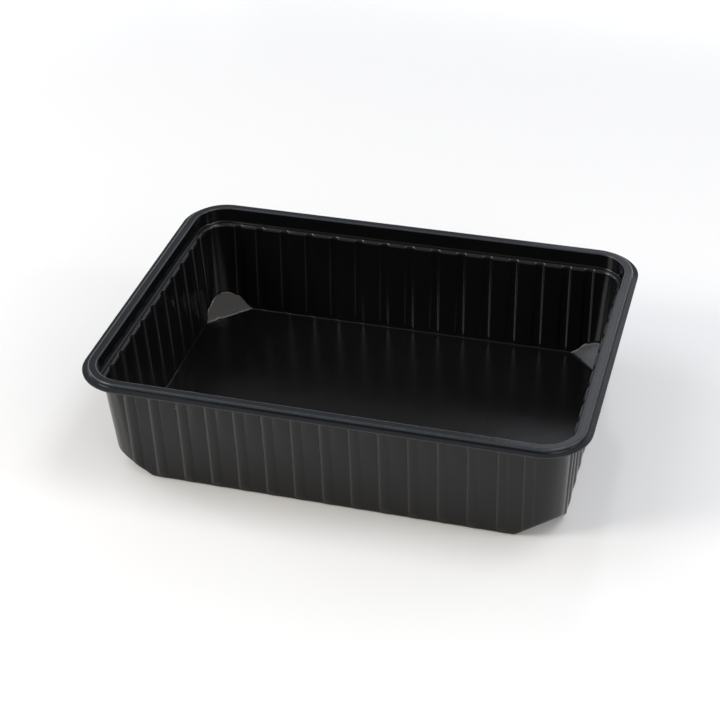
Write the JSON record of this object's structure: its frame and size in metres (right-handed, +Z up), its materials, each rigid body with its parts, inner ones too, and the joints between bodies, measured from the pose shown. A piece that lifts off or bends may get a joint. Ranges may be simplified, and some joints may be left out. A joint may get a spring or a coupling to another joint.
{
  "type": "food tray",
  "caption": "Open rectangular black plastic food tray with a flat sealing rim, an inner ledge, fluted walls and a flat facet cutting each bottom corner.",
  "frame": {"origin": "middle of the underside, on the face the tray rests on", "axes": "+X along the tray's length, +Y along its width, +Z up out of its open top"},
  "size_m": [0.187, 0.137, 0.046],
  "materials": {
    "tray": "satin-gloss black polypropylene sheet, as it leaves the mould"
  },
  "bodies": {
    "root": {"tray": "tray"}
  },
  "joints": []
}
